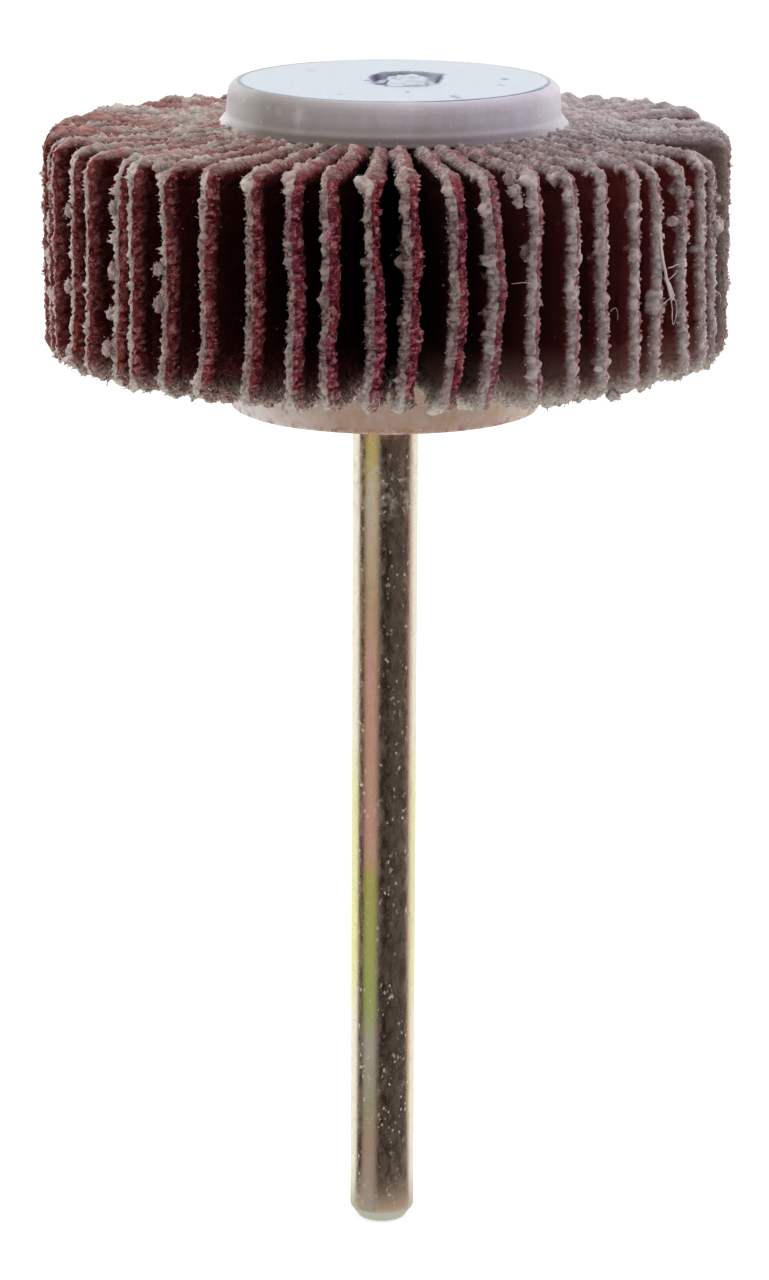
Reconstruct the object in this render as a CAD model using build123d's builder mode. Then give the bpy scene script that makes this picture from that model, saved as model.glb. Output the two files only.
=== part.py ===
from build123d import *
from math import cos, degrees, pi, radians, sin, sqrt
import os

# A mounted flap wheel: abrasive cloth flaps stand on edge round a moulded hub on a steel shank.
# Sizes are in millimetres and angles in degrees. The wheel's axis is Z and the wheel is on top.
# The origin is the middle of the shank's free end, and flap 1 faces -Y.

# Shank
shank_d = 3.0
shank_free_length = 39.25
shank_end_d = 2.24
shank_end_length = 0.55
shank_cover = 2.9
knurl_teeth = 18
knurl_depth = 0.2
groove_count = 2
groove_width = 0.8
groove_depth = 0.35

# Flaps
wheel_d = 31.0
flap_count = 54
flap_height = 10.2
flap_thickness = 0.55
flap_anchor = 1.1
root_film = 0.13
top_corner_r = 0.8
bottom_corner_r = 1.35
front_angle = -92.3

# Hub. The mould half of the upper boss stood a little to the right of the other one.
lower_boss_height = 2.55
lower_boss_draft = 0.5
lower_rim_r = 0.2
upper_boss_height = 2.2
upper_boss_draft = 0.3
upper_rim_r = 0.45
upper_boss_shift = 0.3
flange_width = 0.6
foot_width = 0.45
foot_height = 0.6

# Sprue mark in the hub's top: an oval recess, long from front to back, with a torn stub in it
sprue_offset = 0.6
sprue_length = 5.2
sprue_width = 3.3
sprue_depth = 0.2
sprue_land = 0.8

# How far use has pushed some flaps over at their roots, as shares of the pitch,
# plus towards the next flap. The other flaps stray by up to stray_share.
pushed_over = {
    9: -0.24, 12: -0.36, 19: 0.3, 24: 0.42, 30: -0.5, 31: -0.3, 37: 0.34, 45: -0.7,
    47: -0.34, 49: -0.66, 50: -0.46, 51: -0.24, 52: 0.15, 53: 0.22,
}
stray_share = 0.1
stray_turn = 2.4

# Worked out from the sizes above
pitch = 360 / flap_count
flap_bottom = shank_free_length + lower_boss_height
flap_top = flap_bottom + flap_height
hub_top = flap_top + upper_boss_height
wheel_r = wheel_d / 2

# The flaps crowd together towards the axis until only the film of resin is left between them.
root_r = flap_count * (flap_thickness + root_film) / (2 * pi)
barrel_r = root_r + flap_anchor
flange_r = barrel_r + flange_width
lower_face_r = flange_r - lower_boss_draft
upper_face_r = flange_r - upper_boss_draft
upper_axis = Axis((upper_boss_shift, 0, 0), (0, 0, 1))
seat_length = hub_top - shank_cover - shank_free_length

os.makedirs("parts", exist_ok=True)


def write(part, name):
    part.label = name
    export_step(part, f"parts/{name}.step")


def knurl_point(index):
    """Corners of the knurl's section: crests on the shank's radius, with valleys between."""
    radius = shank_d / 2 - knurl_depth * (index % 2)
    turn = pi * index / knurl_teeth
    return (radius * cos(turn), radius * sin(turn))


def lean(number):
    """Angle that a flap leans over at its root, in radians."""
    share = pushed_over.get(number, stray_share * sin(stray_turn * number))
    return radians(share * pitch)


def flap_plane(number):
    """Middle plane of a flap: X runs outwards from its root and Y up the wheel."""
    turn = radians(front_angle + pitch * (number - 1))
    way = turn + lean(number)
    return Plane(
        origin=(root_r * cos(turn), root_r * sin(turn), flap_bottom),
        x_dir=(cos(way), sin(way), 0),
        z_dir=(sin(way), -cos(way), 0),
    )


def slot_place(number):
    """Where a flap's root stands in the hub's section, turned the way the flap leans."""
    middle = flap_plane(number)
    turn = front_angle + pitch * (number - 1) + degrees(lean(number))
    return Location((middle.origin.X, middle.origin.Y), turn)


def flap_width(number):
    """Root to edge, so that a leaning flap still ends on the wheel's radius."""
    tilt = lean(number)
    return sqrt(wheel_r**2 - (root_r * sin(tilt)) ** 2) - root_r * cos(tilt)


def make_flap(number):
    """One sheet of abrasive cloth on edge, with its two outer corners worn round."""
    width = flap_width(number)
    with BuildPart() as sheet:
        with BuildSketch(flap_plane(number)) as outline:
            Rectangle(width, flap_height, align=(Align.MIN, Align.MIN))
            outer = outline.vertices().sort_by(Axis.X)[-2:].sort_by(Axis.Y)
            fillet(outer[1], top_corner_r)
            outer = outline.vertices().sort_by(Axis.X)[-2:].sort_by(Axis.Y)
            fillet(outer[0], bottom_corner_r)
        extrude(amount=flap_thickness / 2, both=True)
    return sheet.part


# Shank: turned steel with a chamfered free end. The end in the hub is knurled from the hub's
# face on, so that it can't turn in the resin, and has ring grooves, so that it can't slide out.
with BuildPart() as shank:
    with BuildSketch(Plane.XZ):
        with BuildLine():
            Polyline(
                (0, 0),
                (shank_end_d / 2, 0),
                (shank_d / 2, shank_end_length),
                (shank_d / 2, shank_free_length),
                (0, shank_free_length),
                close=True,
            )
        make_face()
    revolve(axis=Axis.Z)
    with BuildSketch(Plane.XY.offset(shank_free_length)):
        with BuildLine():
            Polyline(*[knurl_point(index) for index in range(2 * knurl_teeth)], close=True)
        make_face()
    extrude(amount=seat_length)
    groove_step = seat_length / (groove_count + 1)
    with BuildSketch(Plane.XZ):
        with Locations((shank_d / 2, shank_free_length + seat_length / 2)):
            with GridLocations(groove_step, groove_step, 1, groove_count):
                Rectangle(2 * groove_depth, groove_width)
    revolve(axis=Axis.Z, mode=Mode.SUBTRACT)
write(shank.part, "shank")

for number in range(1, flap_count + 1):
    write(make_flap(number), f"flap_{number:02d}")

# Hub: one moulding of resin, cast round the flaps' roots and the grooved end of the shank
with BuildPart() as hub:
    with BuildSketch(Plane.XY.offset(flap_bottom)):
        Circle(barrel_r)
        with Locations(*[slot_place(number) for number in range(1, flap_count + 1)]):
            Rectangle(
                2 * flap_anchor,
                flap_thickness,
                align=(Align.MIN, Align.CENTER),
                mode=Mode.SUBTRACT,
            )
    extrude(amount=flap_height)
    with BuildSketch(Plane.XZ) as lower_boss:
        with BuildLine():
            Polyline(
                (0, shank_free_length),
                (lower_face_r, shank_free_length),
                (flange_r, flap_bottom),
                (0, flap_bottom),
                close=True,
            )
        make_face()
        rim = lower_boss.vertices().group_by(Axis.Y)[0].sort_by(Axis.X)[-1]
        fillet(rim, lower_rim_r)
    revolve(axis=Axis.Z)
    with BuildSketch(Plane.XZ) as upper_boss:
        with BuildLine():
            Polyline(
                (upper_boss_shift, flap_top),
                (upper_boss_shift + flange_r + foot_width, flap_top),
                (upper_boss_shift + flange_r, flap_top + foot_height),
                (upper_boss_shift + upper_face_r, hub_top),
                (upper_boss_shift, hub_top),
                close=True,
            )
        make_face()
        rim = upper_boss.vertices().group_by(Axis.Y)[-1].sort_by(Axis.X)[-1]
        fillet(rim, upper_rim_r)
    revolve(axis=upper_axis)
    with BuildSketch(Plane.XY.offset(hub_top)):
        with Locations((upper_boss_shift + sprue_offset, 0)):
            SlotOverall(sprue_length, sprue_width, rotation=90)
            SlotOverall(
                sprue_length - 2 * sprue_land,
                sprue_width - 2 * sprue_land,
                rotation=90,
                mode=Mode.SUBTRACT,
            )
    extrude(amount=-sprue_depth, mode=Mode.SUBTRACT)
    add(shank.part, mode=Mode.SUBTRACT)
write(hub.part, "hub")

print(f"root radius {root_r:.3f}, barrel radius {barrel_r:.3f}, hub top radius {upper_face_r:.3f}")
print(f"flaps from {flap_bottom:.2f} to {flap_top:.2f}, hub top at {hub_top:.2f}")
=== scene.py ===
import math
import time

import bpy
import numpy as np
from mathutils import Matrix, Vector


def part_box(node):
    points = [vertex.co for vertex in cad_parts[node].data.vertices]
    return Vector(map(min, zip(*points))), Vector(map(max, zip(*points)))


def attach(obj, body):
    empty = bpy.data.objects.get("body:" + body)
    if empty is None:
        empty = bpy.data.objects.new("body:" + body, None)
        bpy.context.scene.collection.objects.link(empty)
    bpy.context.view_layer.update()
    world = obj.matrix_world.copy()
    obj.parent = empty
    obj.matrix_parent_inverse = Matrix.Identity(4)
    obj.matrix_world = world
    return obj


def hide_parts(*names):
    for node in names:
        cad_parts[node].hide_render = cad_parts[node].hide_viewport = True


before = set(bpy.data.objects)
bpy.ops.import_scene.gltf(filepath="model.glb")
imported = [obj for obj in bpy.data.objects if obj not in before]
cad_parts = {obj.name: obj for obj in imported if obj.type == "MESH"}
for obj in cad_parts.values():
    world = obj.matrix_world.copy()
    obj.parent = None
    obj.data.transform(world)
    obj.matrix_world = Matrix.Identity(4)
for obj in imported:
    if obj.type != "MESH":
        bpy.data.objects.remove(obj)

mm = 0.001
startTime = time.time()
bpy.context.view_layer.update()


def report(words):
    print(f"{time.time() - startTime:6.1f} s  {words}")


# A colour written as it looks on a screen, 0 to 255, turned into the linear values that shaders take
def paint(red, green, blue):
    shares = np.array([red, green, blue]) / 255
    linear = np.where(shares > 0.04045, ((shares + 0.055) / 1.055) ** 2.4, shares / 12.92)
    return (*linear.tolist(), 1.0)


def grey(strength):
    return (strength, strength, strength, 1)


# Camera and light

camera = {
    "distance": 200.0,  # mm in front of the shank
    "height": 78.2,
    "pitch": 14.04,
    "roll": 0.28,
    "focalPixels": 4459,
    "photoHeight": 1280,
    "sensor": 36.0,
}

light = {
    "dome": 0.82,  # strength of the even light from behind, above and the sides
    "domeFront": 0.06,  # and from the front, low down
}

# Square lamps: place and aim in mm, power in watts and size in mm
lamps = {
    "top": ((-60, -30, 320), (0, 0, 45), 0.26, 260),
    "left": ((-260, 60, 130), (0, 0, 40), 0.27, 180),
    "right": ((260, 80, 120), (0, 0, 40), 0.46, 180),
    "front": ((-60, -300, 160), (0, 0, 45), 0.04, 160),
}


def addObject(name, data):
    thing = bpy.data.objects.new(name, data)
    bpy.context.scene.collection.objects.link(thing)
    return thing


def makeCamera():
    pitch, roll = math.radians(camera["pitch"]), math.radians(camera["roll"])
    ahead = Vector((0, math.cos(pitch), -math.sin(pitch)))
    up = Vector((0, math.sin(pitch), math.cos(pitch)))
    right = Vector((1, 0, 0))
    across = right * math.cos(roll) + up * math.sin(roll)
    upright = up * math.cos(roll) - right * math.sin(roll)
    turn = Matrix((across, upright, -ahead)).transposed().to_4x4()
    data = bpy.data.cameras.new("camera")
    data.sensor_fit = "VERTICAL"
    data.sensor_height = camera["sensor"]
    data.lens = camera["focalPixels"] * camera["sensor"] / camera["photoHeight"]
    data.clip_start = 0.01
    data.clip_end = 20
    thing = addObject("camera", data)
    spot = Vector((0, -camera["distance"] * mm, camera["height"] * mm))
    thing.matrix_world = Matrix.Translation(spot) @ turn
    bpy.context.scene.camera = thing


def makeLamps():
    for name, (spot, aim, power, size) in lamps.items():
        data = bpy.data.lights.new(name, "AREA")
        data.energy = power
        data.size = size * mm
        start, end = Vector(spot) * mm, Vector(aim) * mm
        turn = (end - start).to_track_quat("-Z", "Y").to_matrix().to_4x4()
        thing = addObject(name, data)
        thing.matrix_world = Matrix.Translation(start) @ turn
        thing.visible_glossy = False  # reflections see only the bands below


# Shader maths: a wire holds one output socket, and Python's operators on it add Math nodes

# The method for one operator. Turned round, it takes a number on the left and a wire on the right.
def mathsNode(operation, turned=False):
    def apply(first, second):
        return first.maths(operation, *((second, first) if turned else (first, second)))
    return apply


class Wire:
    __add__, __radd__ = mathsNode("ADD"), mathsNode("ADD", turned=True)
    __sub__, __rsub__ = mathsNode("SUBTRACT"), mathsNode("SUBTRACT", turned=True)
    __mul__, __rmul__ = mathsNode("MULTIPLY"), mathsNode("MULTIPLY", turned=True)
    __truediv__ = mathsNode("DIVIDE")
    __pow__ = mathsNode("POWER")

    def __init__(self, finish, socket):
        self.finish = finish
        self.socket = socket

    def maths(self, operation, *values):
        return self.finish.node("ShaderNodeMath", {"operation": operation}, dict(enumerate(values)))

    # 0 below low, 1 above high, a straight rise between
    def ramp(self, low, high):
        sockets = {"Value": self, "From Min": low, "From Max": high}
        return self.finish.node("ShaderNodeMapRange", {"clamp": True}, sockets)

    # 1 from start to end and 0 outside, with a straight rise before and fall after
    def band(self, before, start, end, after):
        return self.ramp(before, start) * (1 - self.ramp(end, after))


# One material's or world's shader nodes
class Finish:
    def __init__(self, owner):
        self.owner = owner
        owner.use_nodes = True
        self.tree = owner.node_tree
        self.tree.nodes.clear()
        self.place = self.node("ShaderNodeTexCoord", output="Object")

    # Adds a node: settings first, then its sockets' values or wires
    def node(self, kind, settings=None, sockets=None, output=0):
        made = self.tree.nodes.new(kind)
        for key, value in (settings or {}).items():
            setattr(made, key, value)
        for key, value in (sockets or {}).items():
            if isinstance(value, Wire):
                self.tree.links.new(value.socket, made.inputs[key])
            else:
                made.inputs[key].default_value = value
        return Wire(self, made.outputs[output]) if output is not None else None

    # Colours between stops, each a position and a colour, for shares from 0 to 1
    def gradient(self, stops, share):
        made = self.tree.nodes.new("ShaderNodeValToRGB")
        self.tree.links.new(share.socket, made.inputs["Fac"])
        while len(made.color_ramp.elements) < len(stops):
            made.color_ramp.elements.new(0.5)
        for element, (position, colour) in zip(made.color_ramp.elements, stops):
            element.position = position
            element.color = colour
        return Wire(self, made.outputs["Color"])

    # Where the shaded point is in the shared frame, in mm
    def position(self):
        return [part / mm for part in self.parts(self.place)]

    # Angle from the front in degrees, plus to the right
    def bearing(self, x, y):
        return x.maths("ARCTAN2", x, 0 - y) * (180 / math.pi)

    # 1 for the named kind of light ray, such as camera or glossy, and 0 for others
    def lightPath(self, name):
        return self.node("ShaderNodeLightPath", output=name)

    def attribute(self, name):
        return self.node("ShaderNodeAttribute", {"attribute_name": name}, output="Fac")

    def noise(self, perMm, detail=3.0, roughness=0.5, where=None):
        sockets = {"Vector": where or self.place, "Scale": perMm / mm}
        sockets.update({"Detail": detail, "Roughness": roughness})
        return self.node("ShaderNodeTexNoise", {}, sockets)

    def cells(self, perMm, where=None, output="Distance"):
        sockets = {"Vector": where or self.place, "Scale": perMm / mm}
        return self.node("ShaderNodeTexVoronoi", {}, sockets, output)

    def mix(self, factor, first, second):
        settings = {"data_type": "RGBA", "clamp_factor": True}
        return self.node("ShaderNodeMix", settings, {0: factor, 6: first, 7: second}, output=2)

    def stretch(self, scale):
        return self.node("ShaderNodeMapping", {}, {"Vector": self.place, "Scale": scale})

    def bump(self, height, distance, strength=1.0):
        sockets = {"Height": height, "Distance": distance * mm, "Strength": strength}
        return self.node("ShaderNodeBump", {}, sockets)

    def parts(self, vector):
        made = self.tree.nodes.new("ShaderNodeSeparateXYZ")
        self.tree.links.new(vector.socket, made.inputs[0])
        return [Wire(self, socket) for socket in made.outputs]

    def principled(self, sockets):
        shader = self.node("ShaderNodeBsdfPrincipled", {}, sockets)
        self.node("ShaderNodeOutputMaterial", {}, {"Surface": shader}, output=None)
        return self.owner


# Noise for shapes: smooth random values on a cubic grid of points, the same on every run

gridPrimes, seedPrime = np.array([374761393, 668265263, 1440662683]), 982451653


# Scrambles the three whole numbers of a grid's cell, and a seed, into a value from -1 to 1
def gridValues(cells, seed):
    mixed = cells @ gridPrimes + seed * seedPrime
    mixed = (mixed ^ (mixed >> 13)) * 1274126177 & 0x7FFFFFFF
    mixed = (mixed ^ (mixed >> 16)) * 668265263 & 0x7FFFFFFF
    return mixed / 0x40000000 - 1.0


# Value noise from -1 to 1: the eight grid values round a point, blended by 3t^2 - 2t^3 along each axis
def smoothNoise(points, size, seed):
    scaled = points / size
    base = np.floor(scaled).astype(np.int64)
    share = scaled - base
    share = share * share * (3 - 2 * share)
    total = 0
    for corner in range(8):
        step = np.array([corner & 1, corner >> 1 & 1, corner >> 2 & 1])
        weight = np.prod(np.where(step, share, 1 - share), axis=-1)
        total = total + weight * gridValues(base + step, seed)
    return total


# Layers of noise, each half the size of the last and weaker by fade
def layeredNoise(points, size, seed, layers=3, fade=0.55):
    total, weight = 0, 1.0
    for layer in range(layers):
        total = total + weight * smoothNoise(points, size / 2**layer, seed + 17 * layer)
        weight *= fade
    return total


# Meshes from arrays

def soften(share):
    share = np.clip(share, 0, 1)
    return share * share * (3 - 2 * share)


# Quads of a grid of rows by columns of points, whose rows may close on themselves
def gridFaces(rows, columns, closeColumns=False):
    along = np.arange(columns if closeColumns else columns - 1)
    row, column = np.meshgrid(np.arange(rows - 1), along, indexing="ij")
    nextRow, nextColumn = row + 1, (column + 1) % columns
    corners = [row * columns + column, row * columns + nextColumn,
               nextRow * columns + nextColumn, nextRow * columns + column]
    return np.stack(corners, -1).reshape(-1, 4)


# A fan that closes the ring of points first..first+count-1 with one middle point
def fanFaces(first, count, middle, flip=False):
    ring = np.arange(count)
    near, far = first + ring, first + (ring + 1) % count
    order = (far, near) if flip else (near, far)
    return np.stack([*order, np.full(count, middle)], -1)


# Fans over the first and last ring of a tube of points, whose middle points come after the tube's
def capFaces(ring, total, flip=True):
    first = fanFaces(0, ring, total, flip)
    return np.concatenate([first, fanFaces(total - ring, ring, total + 1, not flip)])


# A mesh object from points in mm and blocks of faces, with named values for each point.
# Flat blocks, by their place in the list, aren't shaded smooth.
def makeMesh(name, points, faces, values=None, flatBlocks=()):
    data = bpy.data.meshes.new(name)
    blocks = [np.asarray(block) for block in faces]
    counts = np.concatenate([np.full(len(block), block.shape[1]) for block in blocks])
    corners = np.concatenate([block.reshape(-1) for block in blocks])
    smooth = [np.full(len(block), index not in flatBlocks) for index, block in enumerate(blocks)]
    data.vertices.add(len(points))
    data.vertices.foreach_set("co", (points * mm).astype(np.float32).reshape(-1))
    data.loops.add(len(corners))
    data.loops.foreach_set("vertex_index", corners.astype(np.int32))
    data.polygons.add(len(counts))
    starts = np.concatenate([[0], np.cumsum(counts)[:-1]])
    data.polygons.foreach_set("loop_start", starts.astype(np.int32))
    data.polygons.foreach_set("use_smooth", np.concatenate(smooth))
    for key, numbers in (values or {}).items():
        layer = data.attributes.new(key, "FLOAT", "POINT")
        layer.data.foreach_set("value", numbers.astype(np.float32))
    data.update(calc_edges=True)
    data.validate()
    return addObject(name, data)


def place(thing, node, material):
    thing.data.materials.append(material)
    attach(thing, "root")
    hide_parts(node)


# Flaps

flapLook = {
    "out": (0.25, 0.34),  # how far the frayed cloth and grain stand out from the sheet's middle, mm
    "thinOut": (0.18, 0.204),  # and on the thin flaps
    "sheetHalf": 0.22,  # half the sheet's thickness
    "endDip": 0.1,  # how far the frayed edge's hidden ends dip into the sheet
    "inset": 0.14,  # how far the edge's smooth shape lies inside the wheel's radius
    "bend": 0.62,  # share of the frayed edge's section that is its round part
    "depths": (0.34, 0.2),  # how far the round part's sides lie behind its ridge
    "reach": 0.85,  # how far in along the sheet the flat part goes
    "waver": 0.33,  # how much the width varies, as a share
    "topExtra": 0.05,  # how much wider the fluff is along the top
    "bottomLess": 0.25,  # and how much narrower along the bottom
    "clothCrumbs": 0.27,
    "grainCrumbs": 0.24,
    "clumps": 0.26,
    "collar": 0.3,  # how much higher the fluff stands where it meets the hub, mm
    "droop": 0.32,  # how far torn cloth hangs below the sheet, inwards from its corner, mm
    "wander": 0.11,
    "edgeRows": 310,
    "backRows": 200,  # on the flaps at the back
    "thinFuzz": 1.6,  # how many more hairs the thin flaps have
    "backShare": 0.35,  # share of hairs and grains that the flaps at the back get
}

# Hairs: how many, how far they bend, and from and to of their length and thickness, in mm.
# The power makes long ones rare.
hairs = {
    "fuzz": {"count": 190, "bend": 0.07, "length": (0.05, 0.16), "thickness": (0.012, 0.022), "power": 2},
    "fringe": {"count": 110, "bend": 0.13, "length": (0.06, 0.2), "thickness": (0.026, 0.05), "power": 1},
    "lump": {"count": 30, "bend": 0.05, "length": (0.04, 0.1), "thickness": (0.014, 0.028), "power": 1},
}

# Grains: how many, and from and to of their half size in mm. The power makes large ones rare.
grains = {
    "fringe": {"count": 60, "size": (0.03, 0.08), "power": 1},
    "cloth": {"count": 170, "size": (0.03, 0.08), "power": 2},
    "crust": {"count": 90, "size": (0.03, 0.08), "power": 1},
    "dust": {"count": 14, "size": (0.025, 0.06), "power": 1},
    "lump": {"count": 30, "size": (0.03, 0.07), "power": 1},
}

# Flaps that wear has left lower at their top corner, in mm, flaps whose cloth is still clean,
# and how frayed a flap is where that differs from the rest
lowCorners = {9: 0.2, 10: 0.25, 11: 0.12, 12: 0.5, 13: -0.3, 14: -0.25, 18: -0.45, 19: -0.42, 20: -0.35,
              21: -0.25, 22: -0.2, 23: -0.15}
cleanFlaps = {13: 1.0, 14: 0.6}
frayed = {8: 0.8, 9: 0.7, 11: 0.8, 13: 0.12, 14: 0.3, 46: 1.3, 48: 1.3, 51: 0.8, 3: 0.85, 6: 1.25}
thinFlaps = range(5, 16)  # flaps whose edges are worn thin
backFlaps = range(16, 41)
wideCloth = range(44, 53)  # flaps whose frayed cloth covers more of the edge

# How far the edge of a flap stands to one side at its top and bottom, in mm, plus towards the next flap
bentFlaps = {
    1: (-0.2, -0.2), 2: (-0.3, -0.3), 3: (-0.4, -0.5), 4: (-0.4, -0.6), 5: (0.0, 0.2), 6: (-0.4, 0.1),
    7: (-0.2, 0.1), 8: (-0.3, 0.0), 9: (-0.4, -0.3), 10: (-0.4, 0.5), 11: (-0.4, 0.6), 12: (-0.2, 0.6),
    46: (0.3, -0.4), 47: (-0.1, -0.4), 48: (0.2, -0.4), 49: (0.0, -0.2), 50: (-0.2, -0.3),
    51: (0.0, -0.4), 52: (0.0, -0.2), 53: (-0.15, -0.2), 54: (-0.1, 0.0),
}

# Clumps of torn cloth and grain on single flaps, in mm: height up the flap, out from its edge and across,
# then the half sizes the same three ways, and the share of grain in it
lumps = {
    5: [(9.85, -0.4, -1.05, 0.34, 0.2, 0.26, 0.5), (9.3, -0.25, -0.95, 0.3, 0.18, 0.24, 0.3),
        (8.85, -0.2, -0.8, 0.3, 0.16, 0.18, 0.0)],
    6: [(-0.05, -1.6, 0.1, 0.22, 0.3, 0.25, 0.0)],
    8: [(-0.1, -1.3, -0.2, 0.24, 0.3, 0.28, 0.0), (6.2, -0.05, -0.35, 0.3, 0.15, 0.2, 0.0)],
    9: [(7.4, -0.1, 0.95, 0.2, 0.2, 0.25, 0.5)],
    10: [(8.7, -0.05, 0.1, 0.24, 0.15, 0.26, 0.55), (8.1, -0.1, 0.2, 0.2, 0.15, 0.22, 0.6),
         (7.3, -0.1, -0.24, 0.22, 0.16, 0.2, 0.45), (6.5, -0.05, -0.1, 0.25, 0.15, 0.25, 0.0)],
    12: [(6.6, 0.0, 0.2, 0.36, 0.16, 0.4, 0.0), (8.0, -0.02, 0.15, 0.2, 0.12, 0.25, 0.2)],
    46: [(7.3, -0.05, -0.36, 0.26, 0.15, 0.2, 0.05), (4.0, -0.05, -0.42, 0.24, 0.15, 0.24, 0.1),
         (1.1, -0.25, -0.46, 0.34, 0.2, 0.3, 0.1)],
    48: [(7.9, -0.05, -0.34, 0.3, 0.15, 0.2, 0.1), (5.2, -0.05, -0.36, 0.34, 0.15, 0.22, 0.1),
         (3.3, -0.05, -0.36, 0.3, 0.15, 0.2, 0.05), (1.8, -0.05, -0.52, 0.34, 0.2, 0.28, 0.1)],
    50: [(10.1, -0.6, -0.3, 0.3, 0.3, 0.42, 0.0), (5.6, -0.1, -0.38, 0.26, 0.15, 0.26, 0.1),
         (5.5, -0.15, 0.45, 0.26, 0.12, 0.22, 1.0), (4.1, -0.05, -0.32, 0.34, 0.15, 0.22, 0.1)],
}

# Loose threads, in mm: thickness, then three points of their curve as height up, out from the edge and across
threads = {
    5: [(0.016, (5.4, -0.05, -0.2), (5.6, 0.0, -0.7), (5.5, 0.05, -1.2))],
    7: [(0.014, (3.9, -0.1, 0.3), (4.3, 0.1, 0.7), (3.5, 0.0, 0.6))],
    9: [(0.07, (7.4, -0.12, -0.1), (5.8, 0.0, 0.0), (4.1, 0.2, 0.34)),
        (0.07, (7.0, -0.12, 0.0), (5.6, 0.02, 0.1), (4.0, 0.2, 0.44)),
        (0.06, (6.4, -0.1, 0.05), (5.2, 0.05, 0.2), (4.0, 0.22, 0.52)),
        (0.06, (5.6, -0.05, 0.1), (4.9, 0.1, 0.3), (4.15, 0.2, 0.6)),
        (0.05, (5.0, 0.0, 0.2), (4.6, 0.12, 0.4), (3.9, 0.2, 0.4)),
        (0.024, (4.2, 0.2, 0.4), (2.3, 0.3, 0.35), (3.2, 0.3, 0.62)),
        (0.024, (3.2, 0.3, 0.62), (3.6, 0.25, 0.9), (4.2, 0.2, 0.5)),
        (0.024, (5.4, 0.1, 0.3), (5.5, 0.2, 0.7), (5.5, 0.2, 1.0)),
        (0.018, (4.9, 0.1, 0.35), (5.1, 0.2, 0.8), (5.3, 0.15, 0.9)),
        (0.024, (4.1, 0.2, 0.35), (4.0, 0.1, -0.1), (3.5, 0.0, -0.35))],
    12: [(0.02, (3.6, 0.0, 0.2), (3.4, 0.1, 0.8), (3.0, 0.0, 0.6))],
}

topCorner, bottomCorner = 0.85, 1.0  # mm, radii of the two worn corners
rootDepth = 0.8  # where each visual flap starts, mm from its root, out of sight in the hub


# Reads where a flap stands from its CAD solid: root, way outwards, way across, bottom, width and height
def flapStand(number):
    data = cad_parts[f"flap_{number:02d}"].data
    points = np.empty(len(data.vertices) * 3, np.float32)
    data.vertices.foreach_get("co", points)
    points = points.reshape(-1, 3).astype(float) / mm
    reach = np.hypot(points[:, 0], points[:, 1])
    root = points[reach < reach.min() + 0.2, :2].mean(axis=0)
    edge = points[reach > reach.max() - 0.05, :2].mean(axis=0)
    width = float(np.linalg.norm(edge - root))
    out = (edge - root) / width
    across = np.array([-out[1], out[0]])
    low, high = points[:, 2].min(), points[:, 2].max()
    return {"number": number, "root": root, "out": out, "across": across,
            "bottom": low, "width": width, "height": high - low}


# From flap coordinates (outwards, up, across) to the wheel's frame, with the sheet's bends added:
# the edge swings to one side by a smooth curve of height, in full at the edge and not at all at the root
def toWheel(stand, outwards, up, across):
    height, number = stand["height"], stand["number"]
    top, bottom = bentFlaps.get(number, (0.25 * math.sin(1.9 * number), 0.35 * math.sin(1.3 * number + 1)))
    share = np.clip(up / height, -0.1, 1.1)
    swing = top * np.clip(share - 0.5, 0, 1) ** 1.6 * 3.0 + bottom * np.clip(0.5 - share, 0, 1) ** 1.6 * 3.0
    worn = lowCorners.get(number, 0.12 * math.sin(2.3 * number))
    up = up - worn * np.clip(outwards / stand["width"], 0, 1.1) ** 3 * soften((share - 0.6) / 0.4)
    line = np.stack([0 * up, up, 0 * up + 7.3 * number], -1)
    swing = swing + flapLook["wander"] * layeredNoise(line, 2.6, 5, 2)
    hold = np.clip(outwards / stand["width"], 0, 1.1) ** 2
    across = across + swing * hold
    flat = (stand["root"] + outwards[..., None] * stand["out"] + across[..., None] * stand["across"])
    return np.concatenate([flat, (stand["bottom"] + up)[..., None]], -1)


# The free edge of a flap as points along it: out along the bottom, up the outside and back along the top,
# with a quarter circle at each corner. Also gives the outward direction in the sheet's plane.
def freeEdge(stand, count, inset):
    width, height = stand["width"] - inset, stand["height"] - 2 * inset
    low, high = bottomCorner - inset, topCorner - inset
    runs = [width - low - rootDepth, low * math.pi / 2, height - low - high, high * math.pi / 2,
            width - high - rootDepth]
    starts = np.concatenate([[0], np.cumsum(runs)])
    along = np.linspace(0, starts[-1], count)
    done = [np.clip(along - start, 0, run) for start, run in zip(starts, runs)]
    out, firstTurn, rise, lastTurn, back = done
    first = firstTurn / low - math.pi / 2
    last = lastTurn / high
    x = rootDepth + out + low * np.cos(first) + high * (np.cos(last) - 1) - back
    y = low * (1 + np.sin(first)) + rise + high * np.sin(last)
    return x, y + inset, np.cos(first + last), np.sin(first + last)


# Crumbs, the size of noise without its sign and finer on the grain side, and clumps here and there
def fluffNoise(key, top, corner, clothShare):
    broad = 0.2 * np.abs(smoothNoise(key, 0.42, 311)) + 0.46 * np.abs(smoothNoise(key, 0.24, 313))
    small = 0.6 * (1 - 0.6 * top) * np.abs(smoothNoise(key, 0.15, 317))
    crumbs = broad * (0.55 + 0.45 * clothShare) + small * (1.5 - 0.5 * clothShare)
    clump = smoothNoise(key * [1, 1, 0.4], 0.8, 331) + 0.7 * smoothNoise(key, 0.36, 337) - 0.25
    clump = soften(clump / 0.7) + corner * (smoothNoise(key, 0.5, 339) + 0.12)
    return crumbs, np.clip(clump, 0, 1)


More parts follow.
